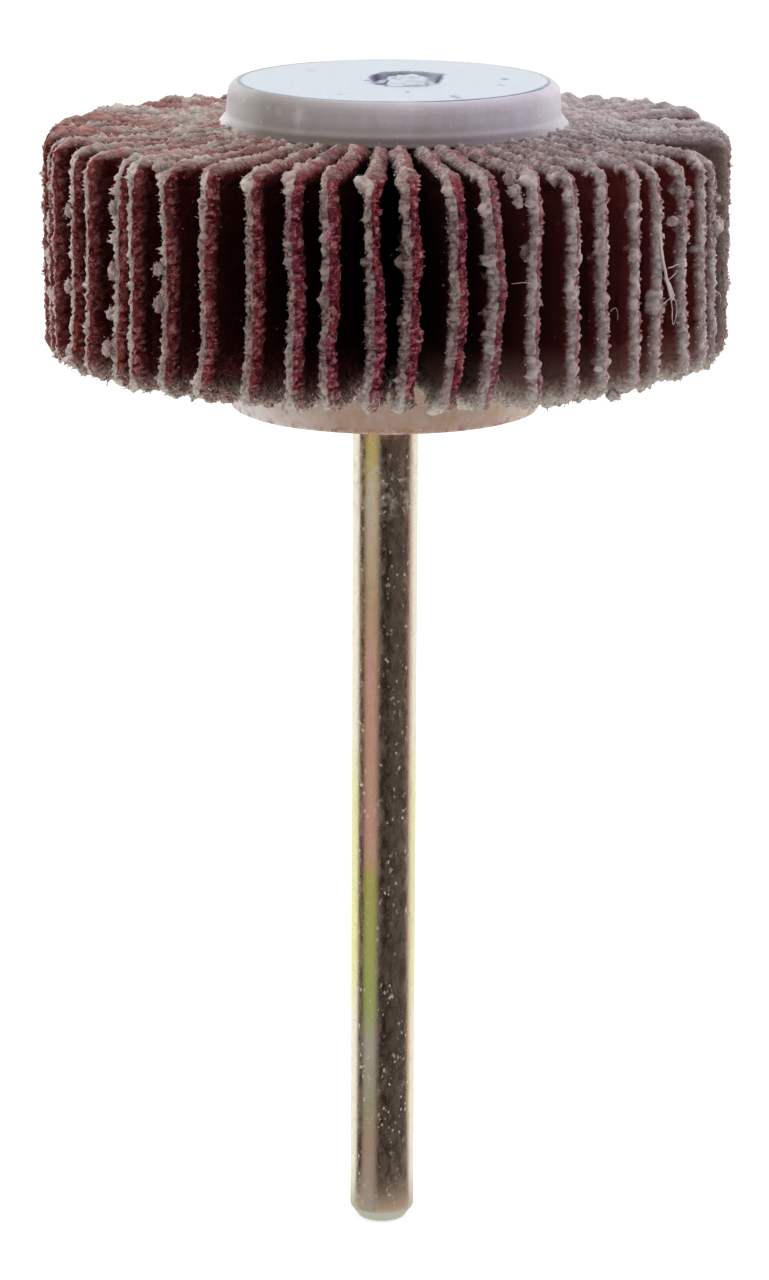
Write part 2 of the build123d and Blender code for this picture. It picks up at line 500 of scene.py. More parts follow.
# Faces of a frayed edge: its skin, the wall that closes it out of sight in the sheet, and its two ends
def edgeFaces(count, wide):
    rows = np.arange(count - 1) * wide
    inside = np.stack([rows + wide - 1, rows + 2 * wide - 1, rows + wide, rows], -1)
    return [gridFaces(count, wide)[:, ::-1], inside, capFaces(wide, count * wide, flip=False)]


# The frayed edge: a section like a U over the sheet's free edge, carried along it, and pushed out by crumbs
# and by clumps. Section runs from -1 on the cloth face over the edge to 1 on the grain face.
def frayedEdge(stand):
    look, number = flapLook, stand["number"]
    count = look["backRows" if number in backFlaps else "edgeRows"]
    line = np.array([-1, -0.86, -0.74, *np.linspace(-0.64, 0.64, 13), 0.74, 0.86, 1])
    ring, section = np.meshgrid(np.arange(count), line, indexing="ij")
    x, y, outX, outY = [values[ring] for values in freeEdge(stand, count, look["inset"])]
    top, bottom = np.clip(outY, 0, 1), np.clip(-outY, 0, 1)
    corner = np.clip(4 * top * np.clip(outX, 0, 1), 0, 1)
    angle = np.clip(section / look["bend"], -1, 1) * math.pi / 2
    onFace = np.clip((np.abs(section) - look["bend"]) / (1 - look["bend"]), 0, 1)

    # the smooth shape
    key = np.stack([x, y, 0.7 * section + 11.7 * number], -1)
    wide = 1 + look["topExtra"] * top - look["bottomLess"] * bottom
    wide = wide + look["waver"] * smoothNoise(key, 1.7, 301)
    clothOut, grainOut = look["thinOut" if number in thinFlaps else "out"]
    side = np.where(section < 0, clothOut, grainOut) * wide * np.sin(angle)
    flat = look["sheetHalf"] - look["endDip"] * soften((onFace - 0.5) / 0.5)
    side = side + (np.sign(section) * flat - side) * soften(onFace)
    clothDepth, grainDepth = look["depths"]
    depth = np.where(section < 0, clothDepth, grainDepth) * (1 - np.cos(angle)) + look["reach"] * onFace
    base = np.stack([x - depth * outX, y - depth * outY, side], -1)

    # how far crumbs and clumps push it out
    key = base + np.array([0, 0, 23.1 * number])
    clothShare = soften((0.1 - side) / 0.25)
    crumbs, clump = fluffNoise(key, top, corner, clothShare)
    fray = frayed.get(number, 1.0)
    clump = clump * fray
    clothPush = look["clothCrumbs"] * crumbs * (1 + 0.35 * top + 0.3 * bottom) * fray
    clothPush = clothPush + look["clumps"] * clump * (0.2 + crumbs)
    grainPush = look["grainCrumbs"] * crumbs * (1 + 0.6 * top + 0.4 * bottom)
    push = (clothShare * clothPush + (1 - clothShare) * grainPush) * (1 - onFace)

    # fluff heaped against the hub, least in front of it, and torn cloth hanging at the bottom
    behind = soften((stand["out"][1] + 0.75) / 0.5)
    collar = look["collar"] * (0.45 + 0.55 * behind) * top * soften((5.2 - x) / 1.6)
    fromCorner = soften((stand["width"] - 1.2 - x) / 1.2)
    droop = look["droop"] * bottom * fromCorner * (0.7 + 0.6 * clump)
    outwards = push * np.cos(angle) * (1 - onFace) * (1 - 0.6 * corner) + collar + droop
    sideways = push * (np.sin(angle) * (1 - onFace) + np.sign(section) * onFace)
    hang = (0.1 + crumbs) * (0.4 + 0.5 * bottom) * (1 - corner) + 0.35 * corner
    hang = look["clumps"] * clump * clothShare * hang
    sideways = sideways - hang * soften((-section - 0.1) / 0.4) * (1 - onFace)
    points = base + np.stack([outwards * outX, outwards * outY, sideways], -1)

    relief = np.clip(crumbs * 1.4 + 0.25 * clump + 0.1 * smoothNoise(key, 0.1, 347), 0, 1)
    depth = depth - 0.35 * clump * clothShare
    seam = smoothNoise(key, 0.8, 341) * (0.03 + 0.3 * top) + 0.07 * smoothNoise(key, 0.2, 343)
    seam = seam - (0.1 if number in wideCloth else 0.02)
    grain = soften((points[..., 2] + seam) / 0.1 + 0.5)
    ends = [points[0].mean(axis=0), points[-1].mean(axis=0)]
    points = np.concatenate([points.reshape(-1, 3), ends])
    values = [np.concatenate([value.reshape(-1), [1.0, 1.0]]) for value in (grain, depth, relief)]
    return points, edgeFaces(count, len(line)), *values


# How far a corner's circle lies inside the corner, by the distance from the outer edge
def cornerDrop(radius, fromEdge):
    across = np.clip(radius - fromEdge, 0, None)
    return radius - np.sqrt(np.clip(radius**2 - across**2, 0, None))


# The sheet itself: two faces a little apart, closed round the rim, and how deep each point lies
def sheetBody(stand, columns, rows):
    half = flapLook["sheetHalf"] - 0.03
    inset = 0.4
    reach = stand["width"] - inset
    x, share = np.meshgrid(np.linspace(rootDepth, reach, columns), np.linspace(0, 1, rows), indexing="ij")
    low, high = cornerDrop(bottomCorner, reach - x), cornerDrop(topCorner, reach - x)
    y = inset + low + share * (stand["height"] - 2 * inset - low - high)
    depth = np.minimum(np.minimum(y, stand["height"] - y), stand["width"] - x)
    key = np.stack([x, y, 0 * x + 3.3 * stand["number"]], -1)
    front = np.stack([x, y, half + 0.07 * layeredNoise(key, 0.9, 351, 2)], -1)
    back = np.stack([x, y, -half + 0.05 * layeredNoise(key, 1.3, 353, 2)], -1)
    points = np.concatenate([front.reshape(-1, 3), back.reshape(-1, 3)])
    count = columns * rows
    grid = gridFaces(columns, rows)
    index = np.arange(count).reshape(columns, rows)
    rim = np.concatenate([index[:, 0], index[-1, 1:], index[-2::-1, -1], index[0, -2:0:-1]])
    after = np.roll(rim, -1)
    wall = np.stack([rim, rim + count, after + count, after], -1)
    return points, [grid[:, ::-1], grid + count, wall], np.tile(depth.reshape(-1), 2)


# The same faces for each of many alike pieces, whose points follow each other
def repeatFaces(faces, count, pointsEach):
    offset = (np.arange(count) * pointsEach)[:, None, None]
    return (np.array(faces)[None] + offset).reshape(-1, len(faces[0]))


# Short tapering hairs: three-sided tubes of three rings and a tip, bent by a curl
def hairShapes(starts, ways, lengths, thickness, curls):
    count = len(starts)
    steps = np.array([0.0, 0.4, 0.75, 1.0])
    ways = ways / np.linalg.norm(ways, axis=1, keepdims=True)
    side = np.cross(ways, [0.3, 0.5, 0.8])
    side /= np.linalg.norm(side, axis=1, keepdims=True)
    other = np.cross(ways, side)
    curls = curls - np.sum(curls * ways, axis=1, keepdims=True) * ways  # they bend sideways only
    reach = steps[None, :, None] * lengths[:, None, None]
    spine = starts[:, None, :] + reach * ways[:, None, :]
    spine = spine + (steps**2)[None, :, None] * curls[:, None, :]
    points = []
    for ring, wide in enumerate((1.0, 0.85, 0.6)):
        for corner in range(3):
            angle = 2 * math.pi * corner / 3
            shift = math.cos(angle) * side + math.sin(angle) * other
            points.append(spine[:, ring] + shift * thickness[:, None] * wide)
    points.append(spine[:, 3])
    points = np.stack(points, 1).reshape(-1, 3)
    quads = gridFaces(3, 3, closeColumns=True)
    tips = [(6, 7, 9), (7, 8, 9), (8, 6, 9), (2, 1, 0)]
    return points, [repeatFaces(quads, count, 10), repeatFaces(tips, count, 10)]


# Small eight-faced grains, each a squashed octahedron turned its own way
def gritShapes(centres, sizes, random):
    count = len(centres)
    corners = np.array([[1, 0, 0], [-1, 0, 0], [0, 1, 0], [0, -1, 0], [0, 0, 1], [0, 0, -1]], float)
    faces = np.array([[0, 2, 4], [2, 1, 4], [1, 3, 4], [3, 0, 4], [2, 0, 5], [1, 2, 5], [3, 1, 5], [0, 3, 5]])
    turns = random.normal(size=(count, 3, 3))
    turns, _ = np.linalg.qr(turns)
    turns *= np.sign(np.linalg.det(turns))[:, None, None]
    stretch = random.uniform(0.6, 1.25, size=(count, 1, 3))
    shape = (corners[None] * stretch * sizes[:, None, None]) @ turns
    return (centres[:, None, :] + shape).reshape(-1, 3), [repeatFaces(faces, count, 6)]


# A clump: a closed ball of rings, stretched to its half sizes and roughened by the size of noise
def clumpShape(centre, halves, seed):
    rings, around = 11, 14
    down = np.linspace(0.16, math.pi - 0.16, rings)
    polar, turn = np.meshgrid(down, np.arange(around) * 2 * math.pi / around, indexing="ij")
    unit = np.stack([np.sin(polar) * np.cos(turn), np.sin(polar) * np.sin(turn), np.cos(polar)], -1)
    key = unit * halves + seed
    rough = 0.7 + 0.5 * np.abs(smoothNoise(key, 0.25, 361)) + 0.7 * np.abs(smoothNoise(key, 0.12, 363))
    points = (unit * rough[..., None] * halves).reshape(-1, 3)
    poles = np.array([[0, 0, 0.9 * halves[2]], [0, 0, -0.9 * halves[2]]])
    grid = gridFaces(rings, around, closeColumns=True)[:, ::-1]
    return np.concatenate([points, poles]) + centre, [grid, capFaces(around, rings * around)[:, ::-1]]


# A thread: a five-sided tube along the curve (1-t)^2 A + 2t(1-t) B + t^2 C, thinner towards its end
def threadShape(thickness, first, second, third):
    rings, around = 12, 5
    share = np.linspace(0, 1, rings)[:, None]
    spine = (1 - share) ** 2 * first + 2 * share * (1 - share) * second + share**2 * third
    shake = [smoothNoise(spine + 5 * axis, 0.4, 371 + axis) for axis in range(3)]
    spine = spine + 0.25 * share * (1 - share) * np.stack(shake, -1)
    way = np.gradient(spine, axis=0)
    side = np.cross(way, [0.2, 0.9, 0.4])
    side /= np.linalg.norm(side, axis=1, keepdims=True)
    other = np.cross(way, side)
    other /= np.linalg.norm(other, axis=1, keepdims=True)
    turn = np.arange(around) * 2 * math.pi / around
    circle = np.cos(turn)[None, :, None] * side[:, None] + np.sin(turn)[None, :, None] * other[:, None]
    wide = thickness * (1 - 0.4 * share) * (1 + 0.25 * smoothNoise(spine, 0.3, 367))[:, None]
    points = np.concatenate([(spine[:, None] + circle * wide[..., None]).reshape(-1, 3), spine[[0, -1]]])
    return points, [gridFaces(rings, around, closeColumns=True), capFaces(around, rings * around)]


# Joins pieces of one mesh. Each is points, faces, and one number or one for each point of: the share of
# grain, the depth in from the free edge in mm, and the relief, 0 in a crevice and 1 on a crumb.
def joinShapes(shapes):
    points, faces, start = [], [], 0
    values = {"grain": [], "depth": [], "relief": []}
    for piecePoints, pieceFaces, *pieceValues in shapes:
        points.append(piecePoints)
        faces += [np.asarray(block) + start for block in pieceFaces]
        for key, value in zip(values, pieceValues):
            values[key].append(np.broadcast_to(value, len(piecePoints)))
        start += len(piecePoints)
    return np.concatenate(points), faces, {key: np.concatenate(parts) for key, parts in values.items()}


# One flap of sheet, frayed edge, hairs, grains, clumps and threads. The three values after the faces are
# the share of grain, the depth and the relief.
def makeFlap(number, material):
    stand = flapStand(number)
    random = np.random.default_rng(700 + number)
    busy = flapLook["backShare"] if number in backFlaps else 1
    fuzz = busy * (flapLook["thinFuzz"] if number in thinFlaps else 1)
    shapes = []

    # outwards, up and across make a left-handed frame, so the faces' order is turned round here
    def add(points, faces, *values):
        faces = [block[:, ::-1] for block in faces]
        shapes.append((toWheel(stand, points[:, 0], points[:, 1], points[:, 2]), faces, *values))

    def pick(points, count):
        return points[random.integers(0, len(points), int(count))]

    def spread(limits, count, power=1):
        return limits[0] + (limits[1] - limits[0]) * random.random(count) ** power

    def addHairs(kind, roots, ways, *values):
        curls = random.normal(0, kind["bend"], roots.shape)
        lengths = spread(kind["length"], len(roots), kind["power"])
        thickness = spread(kind["thickness"], len(roots))
        add(*hairShapes(roots, ways, lengths, thickness, curls), *values)

    def addGrains(kind, centres, *values):
        sizes = spread(kind["size"], len(centres), kind["power"])
        add(*gritShapes(centres, sizes, random), *values)

    points, faces, depth = sheetBody(stand, 14, 18)
    add(points, faces, np.where(np.arange(len(points)) < len(points) // 2, 1.0, 0.0), depth, 0.6)
    edge, faces, grain, depth, relief = frayedEdge(stand)
    add(edge, faces, grain, depth, relief)
    cloth = edge[(grain < 0.3) & (depth < 0.35)]
    under = edge[(depth < 0.6) & (edge[:, 1] < 0.8)]
    crust = edge[(grain > 0.7) & (depth < 0.5)]

    # fuzz stands out from the free edge, a little towards the cloth's side
    x, y, outX, outY = freeEdge(stand, 200, 0.1)
    roots = pick(cloth, fuzz * hairs["fuzz"]["count"])
    near = np.argmin((roots[:, 0, None] - x) ** 2 + (roots[:, 1, None] - y) ** 2, axis=1)
    ways = np.stack([outX[near], outY[near], 0 * near - 0.5], -1) + random.normal(0, 0.7, roots.shape)
    addHairs(hairs["fuzz"], roots, ways, 0.0, 0.0, 0.95)

    # curled fibres and grains along the bottom, where the cloth is torn most
    roots = pick(under, busy * hairs["fringe"]["count"])
    ways = random.normal(0, 0.6, roots.shape) + [0.2, -0.5, 0]
    addHairs(hairs["fringe"], roots, ways, 0.0, -0.5, 1.4)
    spots = pick(under, busy * grains["fringe"]["count"])
    addGrains(grains["fringe"], spots + random.normal(0, 0.04, spots.shape), 0.2, -0.5, 1.2)

    spots = pick(cloth, busy * grains["cloth"]["count"])
    addGrains(grains["cloth"], spots + random.normal(0, 0.035, spots.shape), 0.0, 0.0, 0.9)
    addGrains(grains["crust"], pick(crust, busy * grains["crust"]["count"]), 1.0, 0.0, 0.8)

    # pale dust on both faces
    count = grains["dust"]["count"]
    inwards = random.uniform(0.5, 3.5, count)
    upwards = random.uniform(0.6, stand["height"] - 0.6, count)
    spots = np.stack([stand["width"] - inwards, upwards, random.choice([-0.24, 0.24], count)], -1)
    addGrains(grains["dust"], spots, 0.0, 0.0, 0.9)

    for up, out, across, halfUp, halfOut, halfAcross, share in lumps.get(number, []):
        centre = np.array([stand["width"] + out, up, across])
        halves = np.array([halfOut, halfUp, halfAcross])
        ball, faces = clumpShape(centre, halves, number + up)
        add(ball, faces, share, 0.0, 0.46)
        spots = centre + random.normal(0, 0.55, (grains["lump"]["count"], 3)) * halves
        addGrains(grains["lump"], spots, share, 0.0, 0.5)
        roots = pick(ball, hairs["lump"]["count"])
        addHairs(hairs["lump"], roots, roots - centre, share, 0.0, 0.85)
    for thickness, *bends in threads.get(number, []):
        bends = [np.array([stand["width"] + out, up, across]) for up, out, across in bends]
        add(*threadShape(thickness, *bends), 0.0, 0.0, 1.06)

    points, faces, values = joinShapes(shapes)
    values["clean"] = np.full(len(points), cleanFlaps.get(number, 0.0))
    # block 4 is the frayed edge's hidden wall
    thing = makeMesh(f"flap_{number:02d}_cloth", points, faces, values, flatBlocks=(4,))
    place(thing, f"flap_{number:02d}", material)


clothLook = {
    "cloth": paint(224, 209, 201),
    "clothWarm": paint(200, 170, 169),
    "clothRight": paint(214, 199, 204),
    # painted shade for the cloth's crevices, its middle height and the front of the top fluff
    "clothShade": paint(96, 65, 62),
    # painted shade deep in the gaps between the flaps, partly the resin-soaked cloth's own dark colour
    "clothDeepShade": paint(48, 10, 10),
    "rightDeepShade": paint(104, 36, 34),
    "clothFace": paint(102, 86, 80),
    # pale cloth of the clean flaps' weave, and also painted light from below near the bottom of the flaps
    "clothLow": paint(170, 132, 120),
    "tips": paint(240, 230, 216),
    "grain": paint(178, 70, 88),
    "grainLeft": paint(160, 58, 50),
    "grainDark": paint(62, 10, 24),
    # the same painted shade on the grain side, partly the resin's own dark colour
    "grainDeepShade": paint(44, 4, 3),
    "leftDeepShade": paint(64, 14, 12),
    # pale grain crystals, partly painted glints
    "grainPale": paint(232, 178, 178),
    "dust": paint(172, 118, 108),
    "dustRight": paint(150, 108, 112),
    "topGrey": paint(224, 216, 208),
    "topPink": paint(206, 154, 148),
    "topRight": paint(228, 220, 226),
}


def clothFinish():
    look = clothLook
    finish = Finish(bpy.data.materials.new("frayed_abrasive_cloth"))
    grain, depth, relief, clean = [finish.attribute(name) for name in ("grain", "depth", "relief", "clean")]
    x, y, z = finish.position()
    low, high = [corner[2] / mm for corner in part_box("flap_01")]
    patches = finish.noise(0.7, 4, 0.6)
    fine = finish.noise(5, 4, 0.7)
    fibre = finish.noise(16, 3, 0.6)
    lowEnd = 1 - z.ramp(low + 0.2, low + 2.4)
    topEnd = z.ramp(high - 2.2, high - 0.6)
    topShare = z.ramp(high - 0.45, high - 0.1)

    # on the top, left of the middle, the fluff hides the dark sides of the flaps, so there is less painted
    # shade there
    depth = depth * (1 - 0.7 * topShare * (1 - x.ramp(-3, 3)))
    cloth = finish.mix(patches.ramp(0.38, 0.62), look["cloth"], look["clothWarm"])
    cloth = finish.mix(x.ramp(1, 6) * 0.5, cloth, look["clothRight"])
    # darker at mid-height on the middle flaps: painted shade, as the light falls from above, and partly
    # soiling by grain
    middle = (1 - lowEnd) * (1 - topEnd) * 0.4 * (1 - x.ramp(2, 7)) * (1 - (0 - x).ramp(6, 13))
    # painted shade in the crevices between crumbs, by relief and fine noise
    creaseShade = (1.14 - relief * 0.7 - fine * 1.6 + fibre * 0.45).ramp(0, 0.5) * (0.61 - 0.06 * x.ramp(3, 8))
    cloth = finish.mix(creaseShade + middle, cloth, look["clothShade"])
    cloth = finish.mix(relief.ramp(1.0, 1.3), cloth, look["tips"])
    weave = finish.noise(5, 2, 0.5, where=finish.stretch((0.15, 0.15, 1)))
    face = finish.mix(weave.ramp(0.35, 0.65) * 0.35, look["clothFace"], look["clothLow"])
    cloth = finish.mix(clean * 0.75, cloth, face)
    # deeper in from the free edge: painted shade of the gaps between the flaps, partly the resin-soaked
    # cloth's own dark colour, lighter on the right
    deep = finish.mix(x.ramp(2, 11), look["clothDeepShade"], look["rightDeepShade"])
    # near the bottom, paler instead of dark: painted light from below, and frayed wear
    deep = finish.mix(lowEnd * (0.5 + 0.8 * fine), deep, look["clothLow"])
    deep = finish.mix(clean, deep, face)
    cloth = finish.mix((depth + (fine - 0.5) * 0.4).ramp(0.06, 0.36) * 0.98, cloth, deep)

    blotch = finish.noise(3.2, 3, 0.75)
    brown = (0 - x).ramp(1, 12)
    # where the grain side's painted shade lies: by depth in from the edge, in blotches, more on the left
    innerShade = (depth + (blotch - 0.5) * 1.3 + brown * 0.22).ramp(0.12, 0.75)
    shade = finish.parts(finish.cells(9, output="Color"))[0]
    bright = finish.mix(brown, look["grain"], look["grainLeft"])
    # blotches of dark and bright grain, with the crumbs lighter and crevices darker by relief: painted shade
    tone = blotch * 2.1 + shade * 0.25 + relief * 0.3 - 1.04
    crumbs = finish.mix(tone.ramp(0, 0.6), look["grainDark"], bright)
    # pale crystals on the crumbs' tops, partly painted glints
    pale = (fibre * 0.6 + fine * 0.5 + relief * 0.3).ramp(0.72, 0.84) * blotch.ramp(0.4, 0.6)
    crumbs = finish.mix(pale * 0.75, crumbs, look["grainPale"])
    crumbs = finish.mix(x.ramp(3, 11) * 0.6, crumbs, look["dustRight"])
    # painted shade deep between the flaps on the grain side, partly the resin's own dark colour
    deepGrainShade = finish.mix(brown, look["grainDeepShade"], look["leftDeepShade"])
    # less of the grain's painted shade near the bottom: painted light from below
    crumbs = finish.mix(innerShade * (0.95 - 0.8 * lowEnd * fine), crumbs, deepGrainShade)
    dusty = finish.noise(1.8, 4, 0.7).ramp(0.45, 0.68) * (1 - depth.ramp(0.3, 1.6)) * (0.08 + 0.22 * brown)
    crumbs = finish.mix(dusty, crumbs, look["dust"])
    covered = finish.noise(1.3, 3, 0.65).ramp(0.42, 0.58) * x.ramp(3, 8) * 0.8
    colour = finish.mix(grain.ramp(0.35, 0.65) * (1 - covered), cloth, crumbs)
    # pale flecks along the bottom hem: painted light from below, and frayed wear
    bottomLightAndWear = (1 - z.ramp(low - 0.2, low + 1.1)) * (1 - depth.ramp(0.5, 1.5))
    colour = finish.mix(bottomLightAndWear * (1 - grain * 0.4) * (fine * 5 - 1.7), colour, look["tips"])

    felt = finish.noise(0.42, 5, 0.65)
    fluff = finish.mix(felt.ramp(0.42, 0.58), look["topGrey"], look["topPink"])
    fluff = finish.mix(x.ramp(2, 8) * 0.75, fluff, look["topRight"])
    # darker towards the front of the top fluff: painted shade, as the light comes from above and behind, and
    # partly soiling
    front = (1 - (y + 8).ramp(0, 6)) * (x + 10).ramp(0, 7)
    # painted shade in the top fluff's crevices
    gapShade = (0.6 - relief * 0.6 - fine * 0.4 + fibre * 0.2).ramp(0, 0.5) * (0.7 + 0.2 * front)
    fluff = finish.mix(gapShade, fluff, look["clothShade"])
    fluff = finish.mix(front * 0.35, fluff, look["clothShade"])
    colour = finish.mix(topShare * (0.92 - 0.37 * front) * (1 - depth.ramp(0.15, 0.6)), colour, fluff)
    grit = finish.cells(9)
    height = fibre * 0.4 + fine * 0.8 + (1 - grit) * grain * 0.6
    sockets = {
        "Base Color": colour,
        "Roughness": 0.95 - grain.ramp(0.3, 0.8) * 0.3,
        "Normal": finish.bump(height, 0.13, 1.0),
        "Specular IOR Level": 0.04,
    }
    return finish.principled(sockets)


# Hub

hubLook = {
    "around": 160,
    "lowerFace": 7.04,  # radii, mm
    "upperFace": 7.44,
    "flange": 7.54,
    "foot": 7.99,
    "barrel": 6.94,
    "footHeight": 0.6,
    "upperShift": 0.3,  # the upper boss stands this far to the right
    "lowerRim": 0.2,
    "upperRim": 0.5,
    "frontDrop": 0.016,  # slope of the upper boss's top, down towards the front
    "topColour": paint(183, 194, 205),
    "sideColour": paint(232, 227, 234),
    "rimColour": paint(196, 194, 202),
    # the hub's right side painted darker and lilac: painted shade that tones down the strong right lamp
    "rightShadeColour": paint(188, 181, 197),
    # painted highlight at the hub's far left and right ends
    "sideEndHighlight": paint(226, 228, 230),
    "lowColour": paint(158, 144, 140),
    "footColour": paint(170, 160, 158),
    # painted shade on the hub's left side, browner
    "leftShadeColour": paint(140, 133, 124),
    "bossColour": paint(200, 164, 134),
    # painted light at the lower boss's left and right ends
    "bossEndLight": paint(244, 234, 230),
    # painted shade and reflection in the fine groove inside the rim
    "grooveShadeColour": paint(84, 88, 140),
    # painted shade and a painted reflection of the dark front, in the top's hollows
    "hollowShadeColour": paint(52, 36, 84),
    # painted shade on the barrel between the flaps
    "rootShadeColour": paint(36, 12, 12),  # between the flaps
    "specks": paint(235, 232, 228),
    "flashColour": paint(148, 96, 86),
    "sprue": (0.6, 0.2, 1.65, 2.6),  # middle x and y from the boss's axis, half width and half length, mm
    "sprueDepth": 0.26,
    # dents and scratches in the top: from x, y to x, y, half width and depth
    "dents": [(1.7, 1.7, 2.1, 1.8, 0.26, 0.1), (-1.1, -0.4, -0.4, 0.5, 0.22, 0.12),
              (2.5, -5.0, 3.0, -5.7, 0.09, 0.05), (-3.9, 3.2, -3.8, 3.1, 0.12, 0.06),
              (4.9, 0.6, 5.0, 0.3, 0.1, 0.06), (0.6, -3.7, 0.6, -4.1, 0.07, 0.04),
              (4.6, -1.6, 4.9, -1.5, 0.07, 0.05), (-2.4, -4.6, -2.3, -4.7, 0.06, 0.04)],
    "line": (6.93, 0.06, 0.06),  # fine groove inside the rim: radius, half width and depth
}


# Points (radius, height) of a round piece of a profile, from one angle to another
def arcPoints(centre, radius, start, end, count):
    angle = np.radians(np.linspace(start, end, count))
    return np.stack([centre[0] + radius * np.cos(angle), centre[1] + radius * np.sin(angle)], -1)


# A profile turned round Z: rows follow the profile from the bottom up and columns go round
def turned(profile, around):
    angle = np.linspace(0, 2 * np.pi, around, endpoint=False)
    radius, turn = np.meshgrid(profile[:, 0], angle, indexing="ij")
    height = np.broadcast_to(profile[:, 1][:, None], radius.shape)
    return np.stack([radius * np.cos(turn), radius * np.sin(turn), height], -1)


# Closes it with a middle point at each end
def closeTurned(points, bottom, top):
    rows, around = points.shape[:2]
    faces = [gridFaces(rows, around, closeColumns=True), capFaces(around, rows * around)]
    return np.concatenate([points.reshape(-1, 3), [bottom, top]]), faces


# Height of the hub's top, and where shade is painted on it: the oval recess of the sprue mark with a torn
# stub in it, and dents and scratches, each a line with a soft round section. Painted shade and a painted
# reflection of the dark front lie along the recess's wall, most at the back, in a thin line round the stub,
# and in the dents.
def topRelief(x, y):
    middleX, middleY, halfWidth, halfLength = hubLook["sprue"]
    key = np.stack([x, y, 0 * x], -1)
    ragged = 0.14 * layeredNoise(key, 0.9, 211, 3)
    off = np.hypot(x - middleX, np.clip(np.abs(y - middleY) - halfLength + halfWidth, 0, None)) + ragged
    fromWall = halfWidth - off
    stub = soften((fromWall - 0.7) / 0.16)
    ends = soften(np.abs(x - middleX) / halfWidth - 0.35)
    floor = hubLook["sprueDepth"] * (1 - 0.6 * ends)
    height = floor * (stub - soften(fromWall / (0.12 + 0.3 * ends)))
    height -= stub * (0.06 + 0.1 * layeredNoise(key, 0.8, 223, 3))
    height += 0.03 * np.exp(-((fromWall + 0.12) / 0.12) ** 2)
    back = soften((y - middleY) / 1.2 + 0.5)
    wall = soften((fromWall + 0.06) / 0.1) * (1 - soften((fromWall - 0.3) / 0.3))
    rough = np.clip(0.75 + 0.6 * smoothNoise(key, 0.9, 227), 0, 1)
    outline = (1 - back) * np.exp(-((fromWall - 0.74) / 0.1) ** 2)
    hollowShade = np.clip(1.7 * wall * back * (1 - 0.8 * ends) + 0.8 * outline, 0, 1) * rough
    for startX, startY, endX, endY, wide, deep in hubLook["dents"]:
        way = np.array([endX - startX, endY - startY])
        share = np.clip(((x - startX) * way[0] + (y - startY) * way[1]) / (way @ way), 0, 1)
        gap = np.hypot(x - startX - share * way[0], y - startY - share * way[1])
        gap = gap + 0.25 * wide * smoothNoise(key, 0.5, 229)
        cut = soften(1.4 - gap / wide)
        height -= deep * cut
        # painted shade in the dents
        hollowShade = np.maximum(hollowShade, np.clip(cut * deep / 0.1, 0, 0.8))
    return height, hollowShade


def makeHub(material):
    look = hubLook
    low, high = [corner[2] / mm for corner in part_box("flap_01")]
    bottom, top = [corner[2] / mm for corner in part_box("hub")]
    lower, upper, flange = look["lowerFace"], look["upperFace"], look["flange"]
    lowerRim, rim = look["lowerRim"], look["upperRim"]
    profile = np.concatenate([
        np.linspace((0.1, bottom), (1.45, bottom), 3),
        np.linspace((1.52, bottom), (2.2, bottom), 8),
        np.linspace((2.4, bottom), (lower - lowerRim - 0.05, bottom), 16),
        arcPoints((lower - lowerRim, bottom + lowerRim), lowerRim, -90, 8, 7),
        np.linspace((lower + 0.05, bottom + lowerRim + 0.2), (flange, low - 0.05), 14),
        np.linspace((flange - 0.03, low), (look["barrel"], low), 3),
        np.linspace((look["barrel"], low + 0.1), (look["barrel"], high - 0.1), 4),
        np.linspace((look["barrel"], high), (look["foot"] - 0.04, high), 4),
        np.linspace((look["foot"], high + 0.05), (flange, high + look["footHeight"]), 8),
        np.linspace((flange - 0.02, high + look["footHeight"] + 0.1), (upper + 0.02, top - rim - 0.05), 12),
        arcPoints((upper - rim, top - rim), rim, 4, 86, 9),
        np.linspace((upper - rim - 0.02, top - 0.005), (6.75, top), 6),
        np.linspace((6.6, top), (3.6, top), 16),
        np.linspace((3.52, top), (0.08, top), 64),
    ])
    points = turned(profile, look["around"])
    radius = np.hypot(points[..., 0], points[..., 1])
    upperHalf = points[..., 2] > high - 0.001
    onTop = (points[..., 2] > top - 0.01) & (radius < upper)
    relief, hollowShade = topRelief(points[..., 0], points[..., 1])
    lineRadius, lineWide, lineDeep = look["line"]
    line = lineDeep * soften(1.5 - np.abs(radius - lineRadius) / lineWide)
    points[..., 2] += np.where(onTop, relief - line, 0)
    swell = 1 + np.where(radius > 5, 0.04 * layeredNoise(points, 3.0, 71, 3), 0) / np.clip(radius, 1, None)
    points[..., :2] *= swell[..., None]
    points[..., 2] += np.where(onTop, 0.008 * smoothNoise(points, 2.5, 73), 0)
    lift = soften((points[..., 2] - high - look["footHeight"]) / (top - high - look["footHeight"]))
    points[..., 2] -= lift * look["frontDrop"] * (look["foot"] - points[..., 1])
    # the foot shows less at the front
    footShare = soften((high + look["footHeight"] - points[..., 2]) / look["footHeight"]) * upperHalf
    forward = soften((-points[..., 1] / np.clip(radius, 1, None) - 0.1) / 0.6) * (radius > flange - 0.1)
    points[..., :2] *= (1 - 0.05 * footShare * forward)[..., None]
    # thin flash round the shank, below
    flash = 0.5 * np.exp(-((radius - 1.6) / 0.12) ** 2)
    flash = flash * np.clip(layeredNoise(points, 1.1, 77, 2) + 0.2, 0, 1)
    points[..., 2] -= np.where(points[..., 2] < bottom + 0.01, flash, 0)
    points[..., 0] += np.where(upperHalf, look["upperShift"], 0)
    points, faces = closeTurned(points, (0, 0, bottom), (look["upperShift"], 0, points[-1, :, 2].mean()))
    hollowShade = np.concatenate([np.where(onTop, hollowShade, 0).reshape(-1), [0, 0]])
    thing = makeMesh("resin_hub", points, faces, {"hollowShade": hollowShade})
    place(thing, "hub", material)


